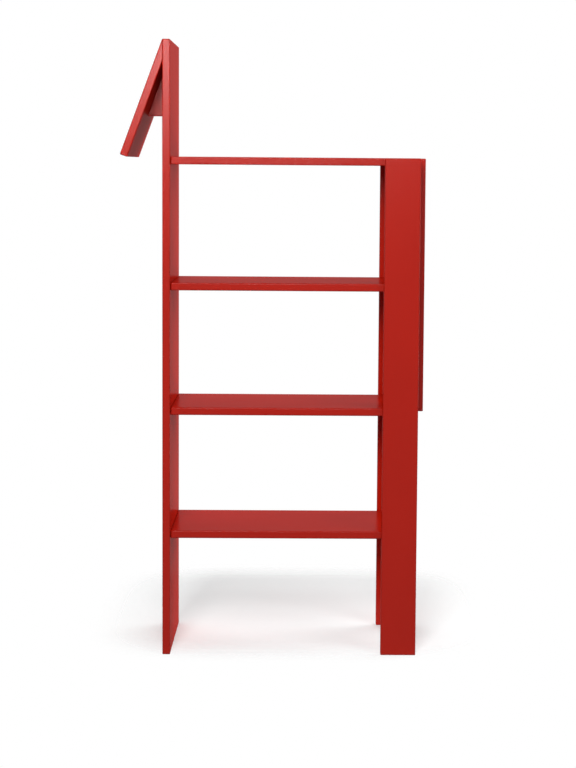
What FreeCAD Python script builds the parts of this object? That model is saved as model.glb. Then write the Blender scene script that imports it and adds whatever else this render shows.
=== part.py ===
import FreeCAD, Part
import os
import re
import Sketcher

# Bookcase in the outline of a long-necked animal, made of lacquered board.
# X runs from the head to the tail, Y from the front to the back, Z up from the floor.

# Driving dimensions in millimetres and degrees: name, value, meaning
SIZES = (
    ("neck_height", 1200, "floor to the top of the neck panel"),
    ("body_depth", 240, "front to back, over the neck panel and both legs"),
    ("body_width", 498, "outer face of the neck to the right edge of the legs"),
    ("board_thickness", 15, "every board"),
    ("edge_radius", 2, "rounding of the board edges"),
    ("shelf_pitch", 244, "floor to the first shelf top, and shelf top to shelf top"),
    ("leg_width", 69, "face of a leg"),
    ("tail_width", 69, "face of the tail board"),
    ("head_length", 235, "outer face of the head board"),
    ("head_tilt", 20.3, "angle of the head board from the vertical"),
    ("brace_height", 101, "upright side of the triangular head brace"),
    ("cam_diameter", 15, "cam disc"),
    ("cam_height", 12, "cam disc"),
    ("cam_setback", 24, "joint face to the centre of the cam disc"),
    ("cam_slot_length", 9, "cross recess for the screwdriver"),
    ("cam_slot_width", 1.8, "cross recess for the screwdriver"),
    ("cam_slot_depth", 3, "cross recess for the screwdriver"),
    ("bolt_thread_diameter", 6, "end that is screwed into a panel"),
    ("bolt_thread_length", 10, "end that is screwed into a panel"),
    ("bolt_collar_diameter", 7, "stop against the panel"),
    ("bolt_collar_length", 3, "stop against the panel"),
    ("bolt_shank_diameter", 4, "between collar and head"),
    ("bolt_head_diameter", 6.6, "end that the cam draws in"),
    ("bolt_head_length", 6, "end that the cam draws in"),
    ("bolt_bore_diameter", 8, "way through the shelf edge to the cam"),
    ("dowel_diameter", 8, "wooden dowel of the shelf joints"),
    ("dowel_length", 30, "wooden dowel of the shelf joints"),
    ("dowel_seat", 10, "part of a dowel inside the panel"),
    ("peg_diameter", 6, "small dowel of the head and brace joints"),
    ("peg_seat", 8, "part of a small dowel inside the neck or the head"),
    ("head_peg_length", 16, "small dowel between head and neck"),
    ("brace_peg_length", 20, "small dowel of the brace"),
    ("dowel_chamfer", 1, "ends of all wooden dowels"),
    ("neck_cam_spacing", 100, "between the cams of a shelf at the neck"),
    ("neck_dowel_spacing", 160, "between the dowels of a shelf at the neck"),
    ("leg_dowel_spacing", 42, "between the dowels of a shelf at a leg"),
    ("tail_dowel_spacing", 42, "between the dowels of a shelf at the tail"),
    ("head_peg_spacing", 85, "between the small dowels along the head joint"),
    ("head_peg_rise", 9, "above the lower end of the head joint"),
    ("brace_neck_rise", 12, "first small dowel above the brace's lower edge"),
    ("brace_neck_spacing", 22, "between the small dowels of brace and neck"),
    ("brace_head_rise", 26, "first small dowel up the slope of the brace"),
    ("brace_head_spacing", 32, "between the small dowels of brace and head"),
    ("tether_pilot_diameter", 3, "pilot for the screw of a wall tether"),
    ("tether_pilot_depth", 25, "pilot for the screw of a wall tether"),
    ("fit_clearance", 0.05, "radial room round dowels, threads and cams"),
    ("end_clearance", 0.4, "room beyond the end of a dowel, thread or cam"),
    ("cam_play", 0.3, "room round the bolt inside the cam"),
)

# Shelves from the floor up
SHELVES = ("bottom_shelf", "middle_shelf", "upper_shelf", "top_shelf")
SHELF_COUNT = len(SHELVES)
# The tail hangs over this many of the upper bays
TAIL_BAYS = 2
# An edge nearer to a plane than this lies in it
TOUCH = 1e-3

# Lengths that several pieces share
MITRE = "(board_thickness / sin(head_tilt))"
HEAD_REACH = ("(head_length * sin(head_tilt)"
              " - edge_radius * (sin(head_tilt) + cos(head_tilt) - 1))")
NECK_X = f"(({HEAD_REACH} - body_width - board_thickness) / 2)"
RIGHT_X = f"({NECK_X} + body_width)"
FRONT_Y = "(-body_depth / 2)"
SHELF_LENGTH = "(body_width - board_thickness)"
SHELF_DEPTH = "(body_depth - 2 * board_thickness)"
BODY_TOP = f"({SHELF_COUNT} * shelf_pitch)"
FIRST_LEVEL = "(shelf_pitch - board_thickness / 2)"
TAIL_LEVEL = f"({SHELF_COUNT - TAIL_BAYS} * shelf_pitch - board_thickness / 2)"
MITRE_FOOT = f"(neck_height - {MITRE})"
BRACE_FOOT = f"({MITRE_FOOT} - brace_height)"
BRACE_REACH = "(brace_height * tan(head_tilt))"
HALF_BOARD = "(board_thickness / 2)"
DOWEL_HOLE = "(dowel_diameter + 2 * fit_clearance)"
PEG_HOLE = "(peg_diameter + 2 * fit_clearance)"
THREAD_HOLE = "(bolt_thread_diameter + 2 * fit_clearance)"
CAM_HOLE = "(cam_diameter + 2 * fit_clearance)"

doc = FreeCAD.newDocument("Bookcase")
sheet = doc.addObject("Spreadsheet::Sheet", "Sizes")
for row, (name, value, meaning) in enumerate(SIZES, start=1):
    sheet.set(f"A{row}", name)
    sheet.set(f"B{row}", str(value))
    sheet.set(f"C{row}", meaning)
    sheet.setAlias(f"B{row}", name)
doc.recompute()

bodies = []


def sized(text):
    """Point each size named in an expression at its cell."""
    return re.sub(r"[a-z]+(?:_[a-z]+)+", r"Sizes.\g<0>", str(text))


def number(text):
    """Present value of an expression, used as a sketch's first guess."""
    return float(sheet.evalExpression(sized(text)))


def bind(target, prop, text):
    target.setExpression(prop, sized(text))


def new_body(label, base, axis=(0, 0, 1), angle="0"):
    """Empty body whose origin lies at base, turned by angle about axis."""
    body = doc.addObject("PartDesign::Body", label)
    body.Label = label
    turn = FreeCAD.Rotation(FreeCAD.Vector(*axis), number(angle))
    body.Placement = FreeCAD.Placement(FreeCAD.Vector(), turn)
    for letter, text in zip("xyz", base):
        bind(body, f"Placement.Base.{letter}", text)
    bind(body, "Placement.Rotation.Angle", angle)
    bodies.append(body)
    return body


def origin_feature(body, role):
    return next(f for f in body.Origin.OriginFeatures if f.Role == role)


def new_sketch(body, plane, shift="0"):
    """Sketch on one of the body's own planes, shifted along that plane's normal."""
    sketch = body.newObject("Sketcher::SketchObject", f"{body.Label}_sketch")
    sketch.AttachmentSupport = [(origin_feature(body, plane), "")]
    sketch.MapMode = "FlatFace"
    bind(sketch, "AttachmentOffset.Base.z", shift)
    return sketch


def dimension(sketch, kind, *picks_and_text):
    """Constraint whose value follows an expression."""
    *picks, text = picks_and_text
    value = number(text)
    if kind == "Angle":
        value = FreeCAD.Units.Quantity(value, FreeCAD.Units.Angle).getValueAs("rad").Value
    index = sketch.addConstraint(Sketcher.Constraint(kind, *picks, value))
    bind(sketch, f"Constraints[{index}]", text)


def draw_circle(sketch, across, up, diameter):
    """Circle whose centre is given from the sketch's origin."""
    centre = FreeCAD.Vector(number(across), number(up))
    circle = sketch.addGeometry(
        Part.Circle(centre, FreeCAD.Vector(0, 0, 1), number(diameter) / 2))
    dimension(sketch, "Diameter", circle, diameter)
    dimension(sketch, "DistanceX", -1, 1, circle, 3, across)
    dimension(sketch, "DistanceY", -1, 1, circle, 3, up)


def draw_outline(sketch, points):
    """Closed outline through points; returns the index of its first line."""
    first = sketch.GeometryCount
    count = len(points)
    for index, point in enumerate(points):
        after = points[(index + 1) % count]
        sketch.addGeometry(Part.LineSegment(FreeCAD.Vector(*point), FreeCAD.Vector(*after)))
    for index in range(count):
        sketch.addConstraint(Sketcher.Constraint(
            "Coincident", first + index, 2, first + (index + 1) % count, 1))
    return first


def draw_rectangle(sketch, left, low, width, height):
    x, y = number(left), number(low)
    w, h = number(width), number(height)
    base = draw_outline(sketch, ((x, y), (x + w, y), (x + w, y + h), (x, y + h)))
    for line, kind in zip(range(base, base + 4), ("Horizontal", "Vertical") * 2):
        sketch.addConstraint(Sketcher.Constraint(kind, line))
    dimension(sketch, "DistanceX", base, 1, base, 2, width)
    dimension(sketch, "DistanceY", base + 1, 1, base + 1, 2, height)
    dimension(sketch, "DistanceX", -1, 1, base, 1, left)
    dimension(sketch, "DistanceY", -1, 1, base, 1, low)


def pad(body, sketch, length, backwards=False):
    feature = body.newObject("PartDesign::Pad", f"{body.Label}_pad")
    feature.Profile = sketch
    feature.Reversed = backwards
    bind(feature, "Length", length)
    doc.recompute()
    return feature


def pocket(body, sketch, depth, backwards=False):
    """Cut a sketch into the body and make sure that it removed material."""
    before = body.Tip.Shape.Volume
    feature = body.newObject("PartDesign::Pocket", f"{body.Label}_pocket")
    feature.Profile = sketch
    feature.Reversed = backwards
    bind(feature, "Length", depth)
    doc.recompute()
    if not feature.Shape.Volume < before:
        raise RuntimeError(f"{feature.Label} cuts nothing")
    return feature


def round_edges(body, chosen=None):
    """Round the edges of the body that chosen picks, or all of them."""
    base = body.Tip
    names = [f"Edge{index}" for index, edge in enumerate(base.Shape.Edges, start=1)
             if chosen is None or chosen(edge)]
    feature = body.newObject("PartDesign::Fillet", f"{body.Label}_rounding")
    feature.Base = (base, names)
    bind(feature, "Radius", "edge_radius")
    doc.recompute()


def repeat(body, features, axis, spacing, count):
    """Repeat features, or the whole body where none are named, along one of its axes."""
    pattern = body.newObject("PartDesign::LinearPattern", f"{body.Label}_pattern")
    if features:
        pattern.Originals = features
    else:
        pattern.TransformMode = "Whole shape"
    pattern.Direction = (origin_feature(body, axis), [""])
    pattern.Mode = "Spacing"
    bind(pattern, "Offset", spacing)
    pattern.Occurrences = count
    body.Tip = pattern
    doc.recompute()


def drill(body, plane, shift, centres, diameter, depth, backwards=False):
    """Round holes of one size, cut from one plane of the body."""
    sketch = new_sketch(body, plane, shift)
    for across, up in centres:
        draw_circle(sketch, across, up, diameter)
    return pocket(body, sketch, depth, backwards)


def pair(middle, spacing):
    """Two places, spacing apart, about a middle one."""
    return f"({middle} - {spacing} / 2)", f"({middle} + {spacing} / 2)"


def new_board(label, base, size, angle="0"):
    """Board with all its edges rounded and one corner at the body's origin."""
    body = new_body(label, base, angle=angle)
    sketch = new_sketch(body, "XY_Plane")
    draw_rectangle(sketch, "0", "0", size[0], size[1])
    pad(body, sketch, size[2])
    round_edges(body)
    return body


def drill_panel(body, plane, shift, middle, bolts, dowels, level, levels, backwards):
    """Thread and dowel holes of the shelf joints in the face of a panel."""
    threads = drill(body, plane, shift, [(place, level) for place in bolts],
                    THREAD_HOLE, "bolt_thread_length + end_clearance", backwards)
    seats = drill(body, plane, shift, [(place, level) for place in pair(middle, dowels)],
                  DOWEL_HOLE, "dowel_seat + end_clearance", backwards)
    repeat(body, [threads, seats], "Z_Axis", "shelf_pitch", levels)


def make_neck():
    middle = "(body_depth / 2)"
    body = new_board("neck_panel", (NECK_X, FRONT_Y, "0"),
                     ("board_thickness", "body_depth", "neck_height"))
    drill_panel(body, "YZ_Plane", "board_thickness", middle, pair(middle, "neck_cam_spacing"),
                "neck_dowel_spacing", FIRST_LEVEL, SHELF_COUNT, False)
    rise = f"{MITRE_FOOT} + head_peg_rise"
    places = [(f"{middle} + {step} * head_peg_spacing", rise) for step in (-1, 0, 1)]
    places += [(middle, f"{BRACE_FOOT} + brace_neck_rise + {step} * brace_neck_spacing")
               for step in (0, 1)]
    drill(body, "YZ_Plane", "0", places, PEG_HOLE, "peg_seat + end_clearance", True)


def make_leg(label, base, angle):
    """Upright at the right end of the shelves, flush with their end and with the top shelf."""
    middle = "(leg_width / 2)"
    body = new_board(label, base, ("leg_width", "board_thickness", BODY_TOP), angle)
    drill_panel(body, "XZ_Plane", "-board_thickness", middle, [middle],
                "leg_dowel_spacing", FIRST_LEVEL, SHELF_COUNT, True)


def make_tail():
    """Strip on the right ends of the upper shelves, flush with the top and lowest of them."""
    middle = "(tail_width / 2)"
    body = new_board("tail_board", (RIGHT_X, "-tail_width / 2", f"{TAIL_LEVEL} - {HALF_BOARD}"),
                     ("board_thickness", "tail_width", f"{TAIL_BAYS} * shelf_pitch + board_thickness"))
    drill_panel(body, "YZ_Plane", "0", middle, [middle],
                "tail_dowel_spacing", HALF_BOARD, TAIL_BAYS + 1, True)


def make_shelf(label, number_up, meets_tail, has_tether):
    """Shelf from the neck to the legs' right edge, between the legs in depth."""
    body = new_board(label, (f"{NECK_X} + board_thickness", f"{FRONT_Y} + board_thickness",
                             f"{number_up} * shelf_pitch - board_thickness"),
                     (SHELF_LENGTH, SHELF_DEPTH, "board_thickness"))
    middle = f"({SHELF_DEPTH} / 2)"
    leg_middle = f"({SHELF_LENGTH} - leg_width / 2)"
    neck_cams = pair(middle, "neck_cam_spacing")
    # Each end: plane, shift, bolt places, dowel places, direction of the cut
    ends = [
        ("YZ_Plane", "0", neck_cams, pair(middle, "neck_dowel_spacing"), True),
        ("XZ_Plane", "0", [leg_middle], pair(leg_middle, "leg_dowel_spacing"), False),
        ("XZ_Plane", f"-{SHELF_DEPTH}", [leg_middle], pair(leg_middle, "leg_dowel_spacing"), True),
    ]
    cams = [("cam_setback", place) for place in neck_cams]
    cams += [(leg_middle, "cam_setback"), (leg_middle, f"{SHELF_DEPTH} - cam_setback")]
    if meets_tail:
        ends.append(("YZ_Plane", SHELF_LENGTH, [middle], pair(middle, "tail_dowel_spacing"), False))
        cams.append((f"{SHELF_LENGTH} - cam_setback", middle))
    drill(body, "XY_Plane", "0", cams, CAM_HOLE, "cam_height + end_clearance", True)
    for plane, shift, bolts, dowels, backwards in ends:
        drill(body, plane, shift, [(place, HALF_BOARD) for place in bolts],
              "bolt_bore_diameter", "cam_setback", backwards)
        drill(body, plane, shift, [(place, HALF_BOARD) for place in dowels],
              DOWEL_HOLE, "dowel_length - dowel_seat + end_clearance", backwards)
    if has_tether:
        drill(body, "XZ_Plane", f"-{SHELF_DEPTH}", [(f"{SHELF_LENGTH} / 2", HALF_BOARD)],
              "tether_pilot_diameter", "tether_pilot_depth", True)


def slope_sketch(body, across, up):
    """Sketch on the slope where head and brace meet, with its origin at the given place."""
    sketch = new_sketch(body, "YZ_Plane", across)
    tilt = FreeCAD.Rotation(FreeCAD.Vector(1, 0, 0), number("head_tilt"))
    sketch.AttachmentOffset = FreeCAD.Placement(FreeCAD.Vector(), tilt)
    bind(sketch, "AttachmentOffset.Base.y", up)
    bind(sketch, "AttachmentOffset.Base.z", across)
    bind(sketch, "AttachmentOffset.Rotation.Angle", "head_tilt")
    return sketch


def drill_slope(body, across, up, middle, backwards):
    """Holes for the small dowels between head and brace, square to the slope."""
    sketch = slope_sketch(body, across, up)
    for step in (0, 1):
        draw_circle(sketch, middle, f"brace_head_rise + {step} * brace_head_spacing", PEG_HOLE)
    depth = "brace_peg_length - peg_seat" if backwards else "peg_seat"
    pocket(body, sketch, f"{depth} + end_clearance", backwards)


def make_head():
    """Slanted board, mitred flat against the neck and cut square at its free end."""
    body = new_body("head_board", (NECK_X, FRONT_Y, MITRE_FOOT))
    sketch = new_sketch(body, "XZ_Plane")
    tip = (number("-head_length * sin(head_tilt)"), number(f"{MITRE} - head_length * cos(head_tilt)"))
    chin = (tip[0] + number("board_thickness * cos(head_tilt)"),
            tip[1] - number("board_thickness * sin(head_tilt)"))
    mitre, face, end, under = range(4)
    draw_outline(sketch, ((0, 0), (0, number(MITRE)), tip, chin))
    sketch.addConstraint(Sketcher.Constraint("Coincident", mitre, 1, -1, 1))
    sketch.addConstraint(Sketcher.Constraint("Vertical", mitre))
    sketch.addConstraint(Sketcher.Constraint("Perpendicular", face, end))
    sketch.addConstraint(Sketcher.Constraint("Parallel", face, under))
    dimension(sketch, "Angle", face, 1, mitre, 2, "head_tilt")
    dimension(sketch, "Distance", face, 1, face, 2, "head_length")
    dimension(sketch, "Distance", end, 1, end, 2, "board_thickness")
    pad(body, sketch, "body_depth", True)
    round_edges(body, lambda edge: edge.BoundBox.XMin < -number("edge_radius"))
    middle = "(body_depth / 2)"
    drill(body, "YZ_Plane", "0", [(f"{middle} + {step} * head_peg_spacing", "head_peg_rise")
                                  for step in (-1, 0, 1)],
          PEG_HOLE, "head_peg_length - peg_seat + end_clearance")
    drill_slope(body, f"-{BRACE_REACH}", "-brace_height", middle, False)


def make_brace():
    """Triangle that fills the angle between neck and head at the middle of the depth."""
    body = new_body("head_brace", (NECK_X, f"-{HALF_BOARD}", BRACE_FOOT))
    sketch = new_sketch(body, "XZ_Plane")
    upright, slope, foot = range(3)
    draw_outline(sketch, ((0, 0), (0, number("brace_height")), (-number(BRACE_REACH), 0)))
    sketch.addConstraint(Sketcher.Constraint("Coincident", upright, 1, -1, 1))
    sketch.addConstraint(Sketcher.Constraint("Vertical", upright))
    sketch.addConstraint(Sketcher.Constraint("Horizontal", foot))
    dimension(sketch, "Angle", slope, 1, upright, 2, "head_tilt")
    dimension(sketch, "Distance", upright, 1, upright, 2, "brace_height")
    pad(body, sketch, "board_thickness", True)
    round_edges(body, lambda edge: edge.BoundBox.ZMax < TOUCH and edge.BoundBox.YLength < TOUCH)
    drill(body, "YZ_Plane", "0",
          [(HALF_BOARD, f"brace_neck_rise + {step} * brace_neck_spacing") for step in (0, 1)],
          PEG_HOLE, "brace_peg_length - peg_seat + end_clearance")
    drill_slope(body, f"-{BRACE_REACH}", "0", HALF_BOARD, True)


def spread(body, across, up):
    """Repeat a finished fastener across the joint and up the shelf levels."""
    for axis, (spacing, count) in (("Y_Axis", across), ("Z_Axis", up)):
        if count > 1:
            repeat(body, [], axis, spacing, count)


def make_dowels(label, base, axis, angle, sizes, across, up):
    """Round wooden dowels along the body's X, seated in the panel on its negative side."""
    diameter, length, seat = sizes
    body = new_body(label, base, axis, angle)
    sketch = new_sketch(body, "YZ_Plane", f"-{seat}")
    draw_circle(sketch, "0", "0", diameter)
    stick = pad(body, sketch, length)
    rims = [f"Edge{index}" for index, edge in enumerate(stick.Shape.Edges, start=1)
            if isinstance(edge.Curve, Part.Circle)]
    chamfer = body.newObject("PartDesign::Chamfer", f"{label}_chamfer")
    chamfer.Base = (stick, rims)
    bind(chamfer, "Size", "dowel_chamfer")
    doc.recompute()
    spread(body, across, up)


def make_bolts(label, base, angle, across, up):
    """Cam bolts along the body's X: thread in the panel, collar on it, head in the cam."""
    body = new_body(label, base, angle=angle)
    head_start = "cam_setback - bolt_head_length / 2"
    # Each stretch: radius, start and end along the bolt
    stretches = (
        ("bolt_thread_diameter / 2", "-bolt_thread_length", "0"),
        ("bolt_collar_diameter / 2", "0", "bolt_collar_length"),
        ("bolt_shank_diameter / 2", "bolt_collar_length", head_start),
        ("bolt_head_diameter / 2", head_start, f"{head_start} + bolt_head_length"),
    )
    for radius, start, end in stretches:
        sketch = new_sketch(body, "YZ_Plane", start)
        draw_circle(sketch, "0", "0", f"2 * {radius}")
        pad(body, sketch, f"{end} - ({start})")
    spread(body, across, up)


def make_cams(label, base, angle, across, up):
    """Cam discs in the shelf undersides, with a way in for the bolt and a cross recess."""
    body = new_body(label, base, angle=angle)
    under = f"-{HALF_BOARD}"
    sketch = new_sketch(body, "XY_Plane", under)
    draw_circle(sketch, "cam_setback", "0", "cam_diameter")
    pad(body, sketch, "cam_height")
    chamber_end = "(cam_setback + bolt_head_length / 2 + cam_play)"
    chamber_length = "(bolt_head_length + 2 * cam_play)"
    drill(body, "YZ_Plane", chamber_end, [("0", "0")],
          "bolt_head_diameter + 2 * cam_play", chamber_length)
    drill(body, "YZ_Plane", f"{chamber_end} - {chamber_length}", [("0", "0")],
          "bolt_shank_diameter + 2 * cam_play", "cam_diameter / 2")
    for long_side, short_side in (("cam_slot_length", "cam_slot_width"),
                                  ("cam_slot_width", "cam_slot_length")):
        slot = new_sketch(body, "XY_Plane", under)
        draw_rectangle(slot, f"cam_setback - {long_side} / 2", f"-{short_side} / 2",
                       long_side, short_side)
        pocket(body, slot, "cam_slot_depth", True)
    spread(body, across, up)


def make_joint(name, face, angle, out, level, levels, cams, dowels):
    """Cams, bolts and dowels where the shelves meet one panel.

    face is the middle of the lowest joint, out the row direction of the body's own Y.
    """
    up = ("shelf_pitch", levels)
    upright = (0, 0, 1)

    def first_place(spacing, count):
        step = f"({spacing}) * {count - 1} / 2"
        return tuple(f"{place} - ({part}) * ({step})" for place, part in zip(face, out)) + (level,)

    make_cams(f"{name}_cam_discs", first_place(*cams), angle, cams, up)
    make_bolts(f"{name}_cam_bolts", first_place(*cams), angle, cams, up)
    make_dowels(f"{name}_dowels", first_place(*dowels), upright, angle,
                ("dowel_diameter", "dowel_length", "dowel_seat"), dowels, up)


make_neck()
make_head()
make_brace()
for level_number, shelf_label in enumerate(SHELVES, start=1):
    is_top = level_number == SHELF_COUNT
    make_shelf(shelf_label, level_number, level_number >= SHELF_COUNT - TAIL_BAYS, is_top)
make_leg("front_leg", (f"{RIGHT_X} - leg_width", FRONT_Y, "0"), "0")
make_leg("rear_leg", (RIGHT_X, f"-{FRONT_Y}", "0"), "180")
make_tail()

LEG_X = f"({RIGHT_X} - leg_width / 2)"
LEG_FACE = f"({FRONT_Y} + board_thickness)"
ONE = ("0", 1)
make_joint("neck", (f"{NECK_X} + board_thickness", "0"), "0", (0, 1), FIRST_LEVEL, SHELF_COUNT,
           ("neck_cam_spacing", 2), ("neck_dowel_spacing", 2))
make_joint("front_leg", (LEG_X, LEG_FACE), "90", (-1, 0), FIRST_LEVEL, SHELF_COUNT,
           ONE, ("leg_dowel_spacing", 2))
make_joint("rear_leg", (LEG_X, f"-{LEG_FACE}"), "-90", (1, 0), FIRST_LEVEL, SHELF_COUNT,
           ONE, ("leg_dowel_spacing", 2))
make_joint("tail", (RIGHT_X, "0"), "180", (0, -1), TAIL_LEVEL, TAIL_BAYS + 1,
           ONE, ("tail_dowel_spacing", 2))

make_dowels("head_pegs", (NECK_X, "head_peg_spacing", f"{MITRE_FOOT} + head_peg_rise"),
            (0, 0, 1), "180", ("peg_diameter", "head_peg_length", "peg_seat"),
            ("head_peg_spacing", 3), ONE)
make_dowels("brace_neck_pegs", (NECK_X, "0", f"{BRACE_FOOT} + brace_neck_rise"),
            (0, 0, 1), "180", ("peg_diameter", "brace_peg_length", "peg_seat"),
            ONE, ("brace_neck_spacing", 2))
make_dowels("brace_head_pegs",
            (f"{NECK_X} - {BRACE_REACH} + brace_head_rise * sin(head_tilt)", "0",
             f"{BRACE_FOOT} + brace_head_rise * cos(head_tilt)"),
            (0, 1, 0), "head_tilt", ("peg_diameter", "brace_peg_length", "peg_seat"),
            ONE, ("brace_head_spacing", 2))

doc.recompute()
for item in doc.Objects:
    if "Invalid" in item.State or "Error" in item.State:
        raise RuntimeError(f"{item.Label} could not be built: {item.State}")
for body in bodies:
    if body.Shape.isNull() or not body.Shape.isValid():
        raise RuntimeError(f"{body.Label} has no valid shape")

os.makedirs("parts", exist_ok=True)
for body in bodies:
    body.Shape.exportStep(f"parts/{body.Label}.step")
    print(body.Label, len(body.Shape.Solids), "solids,", round(body.Shape.Volume), "mm3")
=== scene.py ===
import math

import bpy
from mathutils import Matrix, Vector


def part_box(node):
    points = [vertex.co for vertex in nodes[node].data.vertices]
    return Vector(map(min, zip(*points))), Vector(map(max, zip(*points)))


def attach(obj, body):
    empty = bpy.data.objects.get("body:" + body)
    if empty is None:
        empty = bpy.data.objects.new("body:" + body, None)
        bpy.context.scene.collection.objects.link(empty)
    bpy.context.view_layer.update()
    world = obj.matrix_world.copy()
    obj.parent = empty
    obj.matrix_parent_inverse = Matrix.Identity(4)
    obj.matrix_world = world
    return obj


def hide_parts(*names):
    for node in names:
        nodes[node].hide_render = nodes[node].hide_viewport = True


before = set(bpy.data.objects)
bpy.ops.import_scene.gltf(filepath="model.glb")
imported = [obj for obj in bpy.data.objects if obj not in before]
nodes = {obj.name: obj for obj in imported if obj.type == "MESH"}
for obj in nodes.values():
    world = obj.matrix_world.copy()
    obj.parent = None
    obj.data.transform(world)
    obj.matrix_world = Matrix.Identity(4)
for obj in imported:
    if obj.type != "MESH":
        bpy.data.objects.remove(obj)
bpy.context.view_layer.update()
scene = bpy.context.scene
scene.view_settings.view_transform = "Standard"
print("frame loaded,", len(nodes), "nodes")


# Node helpers: an input is a plain value or a socket to link from
def addNode(tree, kind, inputs=None, **settings):
    node = tree.nodes.new(kind)
    for name, value in settings.items():
        setattr(node, name, value)
    for key, value in (inputs or {}).items():
        if isinstance(value, bpy.types.NodeSocket):
            tree.links.new(value, node.inputs[key])
        else:
            node.inputs[key].default_value = value
    return node


def calc(tree, operation, *values):
    return addNode(tree, "ShaderNodeMath", dict(enumerate(values)), operation=operation).outputs[0]


def calcVector(tree, operation, *values):
    made = addNode(tree, "ShaderNodeVectorMath", dict(enumerate(values)), operation=operation)
    return made.outputs["Value" if operation in ("DOT_PRODUCT", "LENGTH") else "Vector"]


def scaled(tree, vector, factor):
    return addNode(tree, "ShaderNodeVectorMath", {0: vector, "Scale": factor}, operation="SCALE").outputs[0]


def remap(tree, value, fromLow, fromHigh, toLow, toHigh, smooth=False):
    made = addNode(tree, "ShaderNodeMapRange",
                   {"Value": value, "From Min": fromLow, "From Max": fromHigh,
                    "To Min": toLow, "To Max": toHigh},
                   interpolation_type="SMOOTHSTEP" if smooth else "LINEAR")
    return made.outputs["Result"]


def cloud(tree, place, scale, detail):
    made = addNode(tree, "ShaderNodeTexNoise", {"Vector": place, "Scale": scale, "Detail": detail})
    return made.outputs["Fac"]


cloudRange = (0.3, 0.7)   # nearly all of a cloud's values lie in it


def vary(tree, clouds, low, high):
    return remap(tree, clouds, *cloudRange, low, high)


# 1 for rays that look rather than light: from the eye, in gloss and through what is clear
def seenRay(tree):
    path = addNode(tree, "ShaderNodeLightPath").outputs
    return calc(tree, "MAXIMUM", path["Is Camera Ray"],
                calc(tree, "MAXIMUM", path["Is Glossy Ray"], path["Is Transmission Ray"]))


def newMaterial(name):
    material = bpy.data.materials.new(name)
    material.use_nodes = True
    tree = material.node_tree
    tree.nodes.clear()
    return material, tree


def closeMaterial(tree, shader):
    addNode(tree, "ShaderNodeOutputMaterial", {"Surface": shader})


# Object coordinates, and the same moved to a piece's own middle and turn
def placeAndLocal(tree, **move):
    place = addNode(tree, "ShaderNodeTexCoord").outputs["Object"]
    local = addNode(tree, "ShaderNodeMapping", {"Vector": place, **move}, vector_type="TEXTURE")
    return place, local.outputs["Vector"]


# Sprayed satin lacquer on fibreboard, one material for each board because the edges follow its size
lacquer = {
    "colour": (0.40, 0.0090, 0.0024, 1),
    "edgeShadeColour": (0.30, 0.0055, 0.0014, 1),   # painted shade: the rounded edges are darker, standing in for the shade that falls on their roundings
    "edgeWidth": 0.0035,
    "edgeShare": 0.6,
    "edgeBreakScale": 90.0,
    "edgeBreakFrom": (0.35, 0.7),
    "edgeBreakTo": (0.45, 1.0),
    "toneScale": 7.0,
    "toneSpread": 0.03,
    "roughness": (0.50, 0.62),
    "roughnessScale": 14.0,
    "specular": 0.0,                           # all gloss is in the thin clear coat
    "coat": 0.100,
    "coatIor": 2.2,
    "coatRoughness": 0.22,
    "peelScale": 420.0,                        # orange peel, about 2.4 mm from crest to crest
    "waveScale": 38.0,
    "waveShare": 2.0,
    "peelDepth": 0.000012,
    "peelStrength": 0.6,
}


def lacquerFor(name, centre, half, tilt=0.0):
    material, tree = newMaterial(name)
    place, local = placeAndLocal(tree, Location=centre, Rotation=(0, tilt, 0))
    # On a face the two least distances to the board's sides add up to the distance to its nearest edge
    room = calcVector(tree, "SUBTRACT", tuple(half), calcVector(tree, "ABSOLUTE", local))
    parts = addNode(tree, "ShaderNodeSeparateXYZ", {0: room}).outputs
    widest = calc(tree, "MAXIMUM", calc(tree, "MAXIMUM", parts[0], parts[1]), parts[2])
    toEdge = calc(tree, "SUBTRACT", calcVector(tree, "DOT_PRODUCT", room, (1, 1, 1)), widest)
    # Painted shade: the colour darkens towards each board's rounded edges, broken up by a cloud
    breakUp = remap(tree, cloud(tree, local, lacquer["edgeBreakScale"], 4.0),
                    *lacquer["edgeBreakFrom"], *lacquer["edgeBreakTo"])
    nearEdge = remap(tree, toEdge, 0.0, lacquer["edgeWidth"], lacquer["edgeShare"], 0.0, True)
    paintedEdgeShade = calc(tree, "MULTIPLY", nearEdge, breakUp)
    spread = lacquer["toneSpread"]
    tone = vary(tree, cloud(tree, place, lacquer["toneScale"], 3.0), 1 - spread, 1 + spread)
    body = addNode(tree, "ShaderNodeHueSaturation", {"Color": lacquer["colour"], "Value": tone})
    colour = addNode(tree, "ShaderNodeMix",
                     {"Factor": paintedEdgeShade, 6: body.outputs["Color"], 7: lacquer["edgeShadeColour"]},
                     data_type="RGBA").outputs[2]
    roughness = vary(tree, cloud(tree, place, lacquer["roughnessScale"], 4.0), *lacquer["roughness"])
    wave = calc(tree, "MULTIPLY", cloud(tree, local, lacquer["waveScale"], 1.0), lacquer["waveShare"])
    peel = calc(tree, "ADD", cloud(tree, local, lacquer["peelScale"], 1.0), wave)
    bump = addNode(tree, "ShaderNodeBump",
                   {"Strength": lacquer["peelStrength"], "Distance": lacquer["peelDepth"], "Height": peel})
    shader = addNode(tree, "ShaderNodeBsdfPrincipled",
                     {"Base Color": colour, "Roughness": roughness, "Normal": bump.outputs["Normal"],
                      "Coat Normal": bump.outputs["Normal"], "Coat Weight": lacquer["coat"],
                      "Coat Roughness": lacquer["coatRoughness"], "Coat IOR": lacquer["coatIor"],
                      "Specular IOR Level": lacquer["specular"]})
    closeMaterial(tree, shader.outputs["BSDF"])
    return material


boards = {
    "upright": ("neck_panel", "top_shelf", "upper_shelf", "middle_shelf", "bottom_shelf",
                "front_leg", "rear_leg", "tail_board", "head_brace"),
    "headTilt": math.radians(20.3),
    "headLength": 0.235,
    "thickness": 0.015,
}


def dress(node, material):
    nodes[node].data.materials.clear()
    nodes[node].data.materials.append(material)


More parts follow.
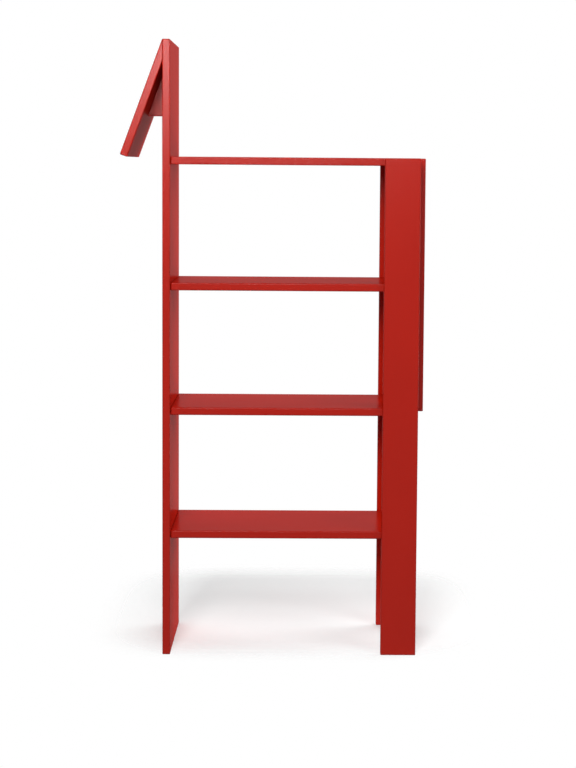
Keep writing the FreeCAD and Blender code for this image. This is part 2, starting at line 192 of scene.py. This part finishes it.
for board in boards["upright"]:
    low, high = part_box(board)
    dress(board, lacquerFor(f"lacquer_{board}", (low + high) / 2, (high - low) / 2))

low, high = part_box("head_board")
headTilt = boards["headTilt"]
down = Vector((-math.sin(headTilt), 0, -math.cos(headTilt)))
inward = Vector((math.cos(headTilt), 0, -math.sin(headTilt)))
headHalf = Vector((boards["thickness"] / 2, (high.y - low.y) / 2, boards["headLength"] / 2))
headCentre = Vector((high.x, 0, high.z)) + down * headHalf.z + inward * headHalf.x
dress("head_board", lacquerFor("lacquer_head_board", headCentre, headHalf, headTilt))
print("boards lacquered")


# Geometry node trees: inputs are (name, kind of socket)
def newTree(name, inputs):
    tree = bpy.data.node_groups.new(name, "GeometryNodeTree")
    for label, kind in inputs:
        tree.interface.new_socket(name=label, in_out="INPUT", socket_type=f"NodeSocket{kind}")
    tree.interface.new_socket(name="Geometry", in_out="OUTPUT", socket_type="NodeSocketGeometry")
    return tree, tree.nodes.new("NodeGroupInput").outputs


# Copies of one shape on a grid: across the joint, and up from shelf to shelf
gridInputs = (("Across", "Int"), ("Up", "Int"), ("First", "Vector"), ("Across Step", "Vector"),
              ("Up Step", "Vector"), ("Turn", "Vector"), ("Material", "Material"))


def layOut(tree, given, shape):
    index = addNode(tree, "GeometryNodeInputIndex").outputs[0]
    column = calc(tree, "MODULO", index, given["Across"])
    row = calc(tree, "FLOOR", calc(tree, "DIVIDE", index, given["Across"]))
    aside = scaled(tree, given["Across Step"], column)
    above = scaled(tree, given["Up Step"], row)
    place = calcVector(tree, "ADD", given["First"], calcVector(tree, "ADD", aside, above))
    points = addNode(tree, "GeometryNodePoints",
                     {"Count": calc(tree, "MULTIPLY", given["Across"], given["Up"]), "Position": place})
    copies = addNode(tree, "GeometryNodeInstanceOnPoints",
                     {"Points": points.outputs[0], "Instance": shape, "Rotation": given["Turn"]})
    plain = addNode(tree, "GeometryNodeRealizeInstances", {"Geometry": copies.outputs[0]})
    painted = addNode(tree, "GeometryNodeSetMaterial",
                      {"Geometry": plain.outputs[0], "Material": given["Material"]})
    addNode(tree, "NodeGroupOutput", {0: painted.outputs[0]})


# Angle round the axis and height along it, for a point of an upright cylinder
def roundAxis(tree):
    place = addNode(tree, "GeometryNodeInputPosition").outputs[0]
    parts = addNode(tree, "ShaderNodeSeparateXYZ", {0: place}).outputs
    return calc(tree, "ARCTAN2", parts["Y"], parts["X"]), parts["Z"]


def setRound(tree, mesh, angle, radius, height):
    place = addNode(tree, "ShaderNodeCombineXYZ",
                    {"X": calc(tree, "MULTIPLY", radius, calc(tree, "COSINE", angle)),
                     "Y": calc(tree, "MULTIPLY", radius, calc(tree, "SINE", angle)), "Z": height})
    moved = addNode(tree, "GeometryNodeSetPosition", {"Geometry": mesh, "Position": place.outputs[0]})
    return moved.outputs[0]


# Beech dowel with pressed flutes for the glue and chamfered ends
dowel = {"flutes": 14, "sidesPerFlute": 4, "fluteDepth": 0.00025, "chamfer": 0.001}


def makeDowelTree():
    tree, given = newTree("fluted_dowel", (("Radius", "Float"), ("Length", "Float"), ("Chamfer", "Float"),
                                           ("Flutes", "Int"), ("Flute Depth", "Float"), *gridInputs))
    sides = calc(tree, "MULTIPLY", given["Flutes"], dowel["sidesPerFlute"])
    body = addNode(tree, "GeometryNodeMeshCylinder",
                   {"Vertices": sides, "Side Segments": 3, "Radius": given["Radius"],
                    "Depth": given["Length"]})
    angle, height = roundAxis(tree)
    # The two inner rings move out to where the chamfers start
    half = calc(tree, "MULTIPLY", given["Length"], 0.5)
    atEnd = calc(tree, "GREATER_THAN", calc(tree, "ABSOLUTE", height), calc(tree, "MULTIPLY", half, 0.5))
    cut = calc(tree, "MULTIPLY", given["Chamfer"], calc(tree, "SUBTRACT", 1.0, atEnd))
    level = calc(tree, "MULTIPLY", calc(tree, "SIGN", height), calc(tree, "SUBTRACT", half, cut))
    groove = calc(tree, "MAXIMUM", calc(tree, "COSINE", calc(tree, "MULTIPLY", angle, given["Flutes"])), 0.0)
    waste = calc(tree, "ADD", calc(tree, "MULTIPLY", groove, given["Flute Depth"]),
                 calc(tree, "MULTIPLY", atEnd, given["Chamfer"]))
    radius = calc(tree, "SUBTRACT", given["Radius"], waste)
    layOut(tree, given, setRound(tree, body.outputs["Mesh"], angle, radius, level))
    return tree


# Zinc-plated cam bolt: coarse thread, collar, shank and head; the profile is station and radius in mm
bolt = {
    "length": 0.037,
    "widest": 0.0035,
    "profile": ((0, 2.2), (1, 3.0), (10, 3.0), (10.5, 3.5), (12.5, 3.5), (13, 3.1), (13.5, 2.0),
                (31, 2.0), (31.5, 2.9), (32, 3.3), (36, 3.3), (36.5, 3.0), (37, 2.4)),
    "threadLength": 0.010,
    "threadPitch": 0.0025,
    "threadDepth": 0.0007,
    "ring": 0.0005,
    "sides": 30,
}


def makeBoltTree():
    tree, given = newTree("cam_bolt", (("Length", "Float"), ("Thread Length", "Float"),
                                       ("Thread Pitch", "Float"), ("Thread Depth", "Float"),
                                       ("Sides", "Int"), *gridInputs))
    rings = round(bolt["length"] / bolt["ring"])
    body = addNode(tree, "GeometryNodeMeshCylinder",
                   {"Vertices": given["Sides"], "Side Segments": rings, "Radius": bolt["widest"],
                    "Depth": given["Length"]})
    angle, height = roundAxis(tree)
    station = calc(tree, "ADD", height, calc(tree, "MULTIPLY", given["Length"], 0.5))
    shape = addNode(tree, "ShaderNodeFloatCurve", {"Value": calc(tree, "DIVIDE", station, given["Length"])})
    curve = shape.mapping.curves[0]
    stations = [(at / 1000 / bolt["length"], wide / 1000 / bolt["widest"]) for at, wide in bolt["profile"]]
    curve.points[0].location = stations[0]
    curve.points[1].location = stations[-1]
    for at, wide in stations[1:-1]:
        curve.points.new(at, wide)
    for point in curve.points:
        point.handle_type = "VECTOR"
    shape.mapping.update()
    turned = calc(tree, "MULTIPLY", shape.outputs[0], bolt["widest"])
    wound = calc(tree, "MULTIPLY", calc(tree, "DIVIDE", station, given["Thread Pitch"]), 2 * math.pi)
    valley = remap(tree, calc(tree, "COSINE", calc(tree, "SUBTRACT", wound, angle)), -1.0, 1.0, 0.0, 1.0)
    onThread = calc(tree, "LESS_THAN", station, given["Thread Length"])
    waste = calc(tree, "MULTIPLY", calc(tree, "MULTIPLY", valley, onThread), given["Thread Depth"])
    radius = calc(tree, "SUBTRACT", turned, waste)
    layOut(tree, given, setRound(tree, body.outputs["Mesh"], angle, radius, height))
    return tree


# A piece made by a tree, baked to a plain mesh, in the place of its CAD node
def makeFitting(node, tree, values):
    made = bpy.data.objects.new(f"{node}_detailed", bpy.data.meshes.new(node))
    scene.collection.objects.link(made)
    modifier = made.modifiers.new("make", "NODES")
    modifier.node_group = tree
    for item in tree.interface.items_tree:
        if item.in_out == "INPUT":
            modifier[item.identifier] = values[item.name]
    made.update_tag()
    mesh = bpy.data.meshes.new_from_object(made.evaluated_get(bpy.context.evaluated_depsgraph_get()))
    made.modifiers.clear()
    made.data = mesh
    mesh.name = made.name
    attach(made, "root")
    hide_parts(node)


# Turned beech: fibres along the dowel, with short darker flecks
beech = {
    "pale": (0.60, 0.37, 0.185, 1),
    "brown": (0.44, 0.245, 0.11, 1),
    "fleck": (0.27, 0.13, 0.055, 1),
    "fibreScale": (1500.0, 1500.0, 70.0),
    "fleckScale": (1900.0, 1900.0, 420.0),
    "fleckFrom": (0.60, 0.72),
    "fleckShare": 0.6,
    "roughness": (0.55, 0.75),
    "specular": 0.35,
    "fibreDepth": 0.00006,
    "fibreStrength": 0.5,
}


def beechFor(name, turn):
    material, tree = newMaterial(name)
    local = placeAndLocal(tree, Rotation=turn)[1]
    fibre = cloud(tree, calcVector(tree, "MULTIPLY", local, beech["fibreScale"]), 1.0, 4.0)
    dashes = cloud(tree, calcVector(tree, "MULTIPLY", local, beech["fleckScale"]), 1.0, 1.0)
    wood = addNode(tree, "ShaderNodeMix",
                   {"Factor": vary(tree, fibre, 0.0, 1.0), 6: beech["pale"], 7: beech["brown"]},
                   data_type="RGBA")
    flecked = remap(tree, dashes, *beech["fleckFrom"], 0.0, beech["fleckShare"])
    colour = addNode(tree, "ShaderNodeMix",
                     {"Factor": flecked, 6: wood.outputs[2], 7: beech["fleck"]}, data_type="RGBA")
    bump = addNode(tree, "ShaderNodeBump",
                   {"Strength": beech["fibreStrength"], "Distance": beech["fibreDepth"], "Height": fibre})
    shader = addNode(tree, "ShaderNodeBsdfPrincipled",
                     {"Base Color": colour.outputs[2], "Roughness": vary(tree, fibre, *beech["roughness"]),
                      "Normal": bump.outputs["Normal"], "Specular IOR Level": beech["specular"]})
    closeMaterial(tree, shader.outputs["BSDF"])
    return material


# Zinc: cast with a fine skin on the cam discs, plated with turning rings on the bolts
zinc = {
    "cast": {"colour": (0.55, 0.56, 0.58, 1), "spread": 0.12, "roughness": (0.38, 0.58),
             "grainScale": 900.0, "grainDepth": 0.00005, "rings": 0.0},
    "plated": {"colour": (0.64, 0.65, 0.66, 1), "spread": 0.07, "roughness": (0.20, 0.34),
               "grainScale": 500.0, "grainDepth": 0.00001, "rings": 1.0},
    "stainScale": 160.0,
    "ringScale": 900.0,
    "ringWander": 0.4,
    "grainStrength": 0.5,
}


def zincFor(name, finish, turn=(0, 0, 0)):
    look = zinc[finish]
    material, tree = newMaterial(name)
    place, local = placeAndLocal(tree, Rotation=turn)
    grain = cloud(tree, place, look["grainScale"], 3.0)
    stain = cloud(tree, place, zinc["stainScale"], 3.0)
    tone = vary(tree, stain, 1 - look["spread"], 1 + look["spread"])
    colour = addNode(tree, "ShaderNodeHueSaturation", {"Color": look["colour"], "Value": tone})
    ring = addNode(tree, "ShaderNodeTexWave",
                   {"Vector": local, "Scale": zinc["ringScale"], "Distortion": zinc["ringWander"]},
                   bands_direction="Z").outputs["Fac"]
    height = calc(tree, "ADD", grain, calc(tree, "MULTIPLY", ring, look["rings"]))
    bump = addNode(tree, "ShaderNodeBump",
                   {"Strength": zinc["grainStrength"], "Distance": look["grainDepth"], "Height": height})
    shader = addNode(tree, "ShaderNodeBsdfPrincipled",
                     {"Base Color": colour.outputs["Color"], "Metallic": 1.0,
                      "Roughness": vary(tree, grain, *look["roughness"]),
                      "Normal": bump.outputs["Normal"]})
    closeMaterial(tree, shader.outputs["BSDF"])
    return material


# Way that each fitting points, as a turn from upright
turns = {
    "right": (0, math.pi / 2, 0),
    "left": (0, -math.pi / 2, 0),
    "back": (-math.pi / 2, 0, 0),
    "front": (math.pi / 2, 0, 0),
    "downhill": (0, math.pi / 2 + headTilt, 0),
}
# Steps from one fitting to the next of its kind
steps = {"shelves": 0.244, "neckDowels": 0.160, "neckBolts": 0.100, "legDowels": 0.042,
         "tailDowels": 0.042, "headPegs": 0.085, "braceNeckPegs": 0.022, "braceHeadPegs": 0.032}
shelfStep = Vector((0, 0, steps["shelves"]))
legStep = (steps["legDowels"], 0, 0)
uphill = down * -steps["braceHeadPegs"]
single = (0, 0, 0)
# Radius and length
dowelSizes = {"dowel": (0.004, 0.030), "headPeg": (0.003, 0.016), "bracePeg": (0.003, 0.020)}
# Each: size, way it points, count and step across, count and step up
dowels = {
    "neck_dowels": ("dowel", "right", 2, (0, steps["neckDowels"], 0), 4, shelfStep),
    "front_leg_dowels": ("dowel", "back", 2, legStep, 4, shelfStep),
    "rear_leg_dowels": ("dowel", "front", 2, legStep, 4, shelfStep),
    "tail_dowels": ("dowel", "left", 2, (0, steps["tailDowels"], 0), 3, shelfStep),
    "head_pegs": ("headPeg", "right", 3, (0, steps["headPegs"], 0), 1, single),
    "brace_neck_pegs": ("bracePeg", "right", 1, single, 2, (0, 0, steps["braceNeckPegs"])),
    "brace_head_pegs": ("bracePeg", "downhill", 1, single, 2, uphill),
}
# Each: way it points, count and step across, count up
bolts = {
    "neck_cam_bolts": ("right", 2, (0, steps["neckBolts"], 0), 4),
    "front_leg_cam_bolts": ("back", 1, single, 4),
    "rear_leg_cam_bolts": ("front", 1, single, 4),
    "tail_cam_bolts": ("left", 1, single, 3),
}


def gridValues(node, way, across, aside, up, above, material):
    low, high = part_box(node)
    first = (low + high) / 2 - Vector(aside) * (across - 1) / 2 - Vector(above) * (up - 1) / 2
    return {"Across": across, "Up": up, "First": tuple(first), "Across Step": tuple(aside),
            "Up Step": tuple(above), "Turn": turns[way], "Material": material}


dowelTree = makeDowelTree()
for node, (size, way, across, aside, up, above) in dowels.items():
    radius, length = dowelSizes[size]
    values = gridValues(node, way, across, aside, up, above, beechFor(f"beech_{node}", turns[way]))
    values.update({"Radius": radius, "Length": length, "Chamfer": dowel["chamfer"],
                   "Flutes": dowel["flutes"], "Flute Depth": dowel["fluteDepth"]})
    makeFitting(node, dowelTree, values)
print("dowels made")

boltTree = makeBoltTree()
for node, (way, across, aside, up) in bolts.items():
    plated = zincFor(f"plated_{node}", "plated", turns[way])
    values = gridValues(node, way, across, aside, up, shelfStep, plated)
    values.update({"Length": bolt["length"], "Thread Length": bolt["threadLength"], "Sides": bolt["sides"],
                   "Thread Pitch": bolt["threadPitch"], "Thread Depth": bolt["threadDepth"]})
    makeFitting(node, boltTree, values)
print("bolts made")

castZinc = zincFor("cast_zinc", "cast")
for node in ("neck_cam_discs", "front_leg_cam_discs", "rear_leg_cam_discs", "tail_cam_discs"):
    dress(node, castZinc)
print("cams dressed")


# Floor: a pale patch under the bookcase that runs out into the white surroundings
floor = {
    "middle": (0.045, 0.24),
    "reach": (0.44, 0.42),
    "fadeFrom": 0.60,
    "paint": (0.772, 0.80, 0.80, 1),   # a trace of blue-green against the red thrown onto it
    "grainScale": 60.0,
    "grainTone": (0.99, 1.0),
    "glow": 0.135,
    "rim": 1.3,                        # where the mesh ends, as a share of the reach
    "corners": 24,
}


def makeFloor():
    material, tree = newMaterial("pale_floor")
    middle, reach = floor["middle"], floor["reach"]
    place, local = placeAndLocal(tree, Location=(*middle, 0), Scale=(*reach, 1))
    # The length of the squares keeps one level round a square with soft corners
    squares = calcVector(tree, "MULTIPLY", local, local)
    distance = calc(tree, "SQRT", calcVector(tree, "LENGTH", squares))
    fade = remap(tree, distance, floor["fadeFrom"], 1.0, 0.0, 1.0, True)
    grain = vary(tree, cloud(tree, place, floor["grainScale"], 3.0), *floor["grainTone"])
    paint = addNode(tree, "ShaderNodeHueSaturation", {"Color": floor["paint"], "Value": grain})
    lit = addNode(tree, "ShaderNodeBsdfDiffuse", {"Color": paint.outputs["Color"]})
    glow = addNode(tree, "ShaderNodeEmission",
                   {"Strength": calc(tree, "MULTIPLY", seenRay(tree), floor["glow"])})
    patch = addNode(tree, "ShaderNodeAddShader", {0: lit.outputs[0], 1: glow.outputs[0]})
    clear = addNode(tree, "ShaderNodeBsdfTransparent")
    mixed = addNode(tree, "ShaderNodeMixShader", {0: fade, 1: patch.outputs[0], 2: clear.outputs[0]})
    closeMaterial(tree, mixed.outputs[0])
    wide, deep = floor["rim"] * reach[0], floor["rim"] * reach[1]
    angles = [2 * math.pi * step / floor["corners"] for step in range(floor["corners"])]
    rim = [(middle[0] + wide * math.cos(angle), middle[1] + deep * math.sin(angle), 0) for angle in angles]
    mesh = bpy.data.meshes.new("floor")
    mesh.from_pydata(rim, [], [list(range(len(rim)))])
    mesh.materials.append(material)
    made = bpy.data.objects.new("floor", mesh)
    scene.collection.objects.link(made)


makeFloor()
print("floor laid")


# White surroundings: plain white to the eye and in reflections, and as light a level for each side
surroundings = {"right": 0.0, "back": 1.7, "top": 0.21, "left": 0.1, "front": 0.0, "floor": 0.0}


def makeSurroundings():
    world = bpy.data.worlds.new("white_surroundings")
    scene.world = world
    world.use_nodes = True
    tree = world.node_tree
    tree.nodes.clear()
    way = addNode(tree, "ShaderNodeTexCoord").outputs["Generated"]
    plus = calcVector(tree, "MAXIMUM", way, (0, 0, 0))
    minus = calcVector(tree, "SUBTRACT", plus, way)
    plusLevels = [surroundings[side] for side in ("right", "back", "top")]
    minusLevels = [surroundings[side] for side in ("left", "front", "floor")]
    soft = calc(tree, "ADD", calcVector(tree, "DOT_PRODUCT", plus, plusLevels),
                calcVector(tree, "DOT_PRODUCT", minus, minusLevels))
    strength = remap(tree, seenRay(tree), 0.0, 1.0, soft, 1.0)
    white = addNode(tree, "ShaderNodeBackground", {"Color": (1, 1, 1, 1), "Strength": strength})
    addNode(tree, "ShaderNodeOutputWorld", {"Surface": white.outputs[0]})


makeSurroundings()
print("surroundings set")

# Softboxes round the bookcase, sizes in metres and power in watts; some give only fill, one only sheen
softboxAim = (0.0, 0.0, 0.6)   # for those with no aim of their own
softboxes = {
    "front": {"place": (-0.43, -3.07, 1.73), "size": 0.8, "power": 47.0, "sheen": False},
    "frontHigh": {"place": (-0.19, -2.76, 2.20), "size": 1.0, "power": 36.2, "sheen": False},
    "head": {"place": (0.05, -3.30, 1.45), "aim": (-0.2, -0.12, 1.30), "size": 0.6, "power": 0.60,
             "spread": 16, "sheen": False},
    "panel": {"place": (-0.275, -3.07, 1.57), "aim": (-0.275, 0.0, 1.57), "size": 1.15, "height": 0.7,
              "power": 34.5, "fill": False},
    "right": {"place": (1.79, -1.79, 1.78), "size": 1.4, "power": 21.3},
    "rearRight": {"place": (2.11, 1.32, 1.36), "size": 1.6, "power": 17.9},
    "rearLow": {"place": (2.28, 1.21, 0.33), "size": 1.2, "power": 22.0},
    "headBack": {"place": (-0.24, 0.75, 0.15), "aim": (-0.285, 0.0, 1.03), "size": 0.2, "power": 0.11,
                 "spread": 24, "sheen": False},
    "left": {"place": (-2.65, -0.71, 1.18), "size": 1.6, "power": 8.0},
}


def makeSoftbox(name, box):
    light = bpy.data.lights.new(f"softbox_{name}", "AREA")
    light.shape = "RECTANGLE"
    light.size = box["size"]
    light.size_y = box.get("height", box["size"])
    light.energy = box["power"]
    light.spread = math.radians(box.get("spread", 180))
    made = bpy.data.objects.new(light.name, light)
    made.location = box["place"]
    aim = Vector(box.get("aim", softboxAim)) - Vector(box["place"])
    made.rotation_euler = aim.to_track_quat("-Z", "Y").to_euler()
    made.visible_camera = False
    made.visible_diffuse = box.get("fill", True)
    made.visible_glossy = box.get("sheen", True)
    scene.collection.objects.link(made)


for side, box in softboxes.items():
    makeSoftbox(side, box)
print("lights set")


# Camera at the photograph's viewpoint, angles in radians and the sensor's width in mm
viewpoint = {
    "place": (0.06195, -3.48087, 0.96193),
    "pitch": 0.0842,
    "yaw": 0.0139,
    "roll": 0.0077,
    "focalPixels": 1741.36,
    "axisPixel": (330.0, 312.0),
    "picture": (576, 768),
    "sensor": 36.0,
    "farthest": 100.0,
}


def makeCamera():
    pitch, yaw, roll = viewpoint["pitch"], viewpoint["yaw"], viewpoint["roll"]
    ahead = Vector((math.sin(yaw) * math.cos(pitch), math.cos(yaw) * math.cos(pitch), -math.sin(pitch)))
    level = Vector((math.cos(yaw), -math.sin(yaw), 0))
    above = level.cross(ahead)
    right = level * math.cos(roll) + above * math.sin(roll)
    up = above * math.cos(roll) - level * math.sin(roll)
    lens = bpy.data.cameras.new("camera")
    made = bpy.data.objects.new("camera", lens)
    turn = Matrix((right, up, -ahead)).transposed().to_4x4()
    made.matrix_world = Matrix.Translation(viewpoint["place"]) @ turn
    width, height = viewpoint["picture"]
    lens.sensor_width = viewpoint["sensor"]
    lens.lens = viewpoint["focalPixels"] * viewpoint["sensor"] / height
    lens.shift_x = (width / 2 - viewpoint["axisPixel"][0]) / height
    lens.shift_y = (viewpoint["axisPixel"][1] - height / 2) / height
    lens.clip_end = viewpoint["farthest"]
    scene.collection.objects.link(made)
    scene.camera = made


makeCamera()
print("camera placed")
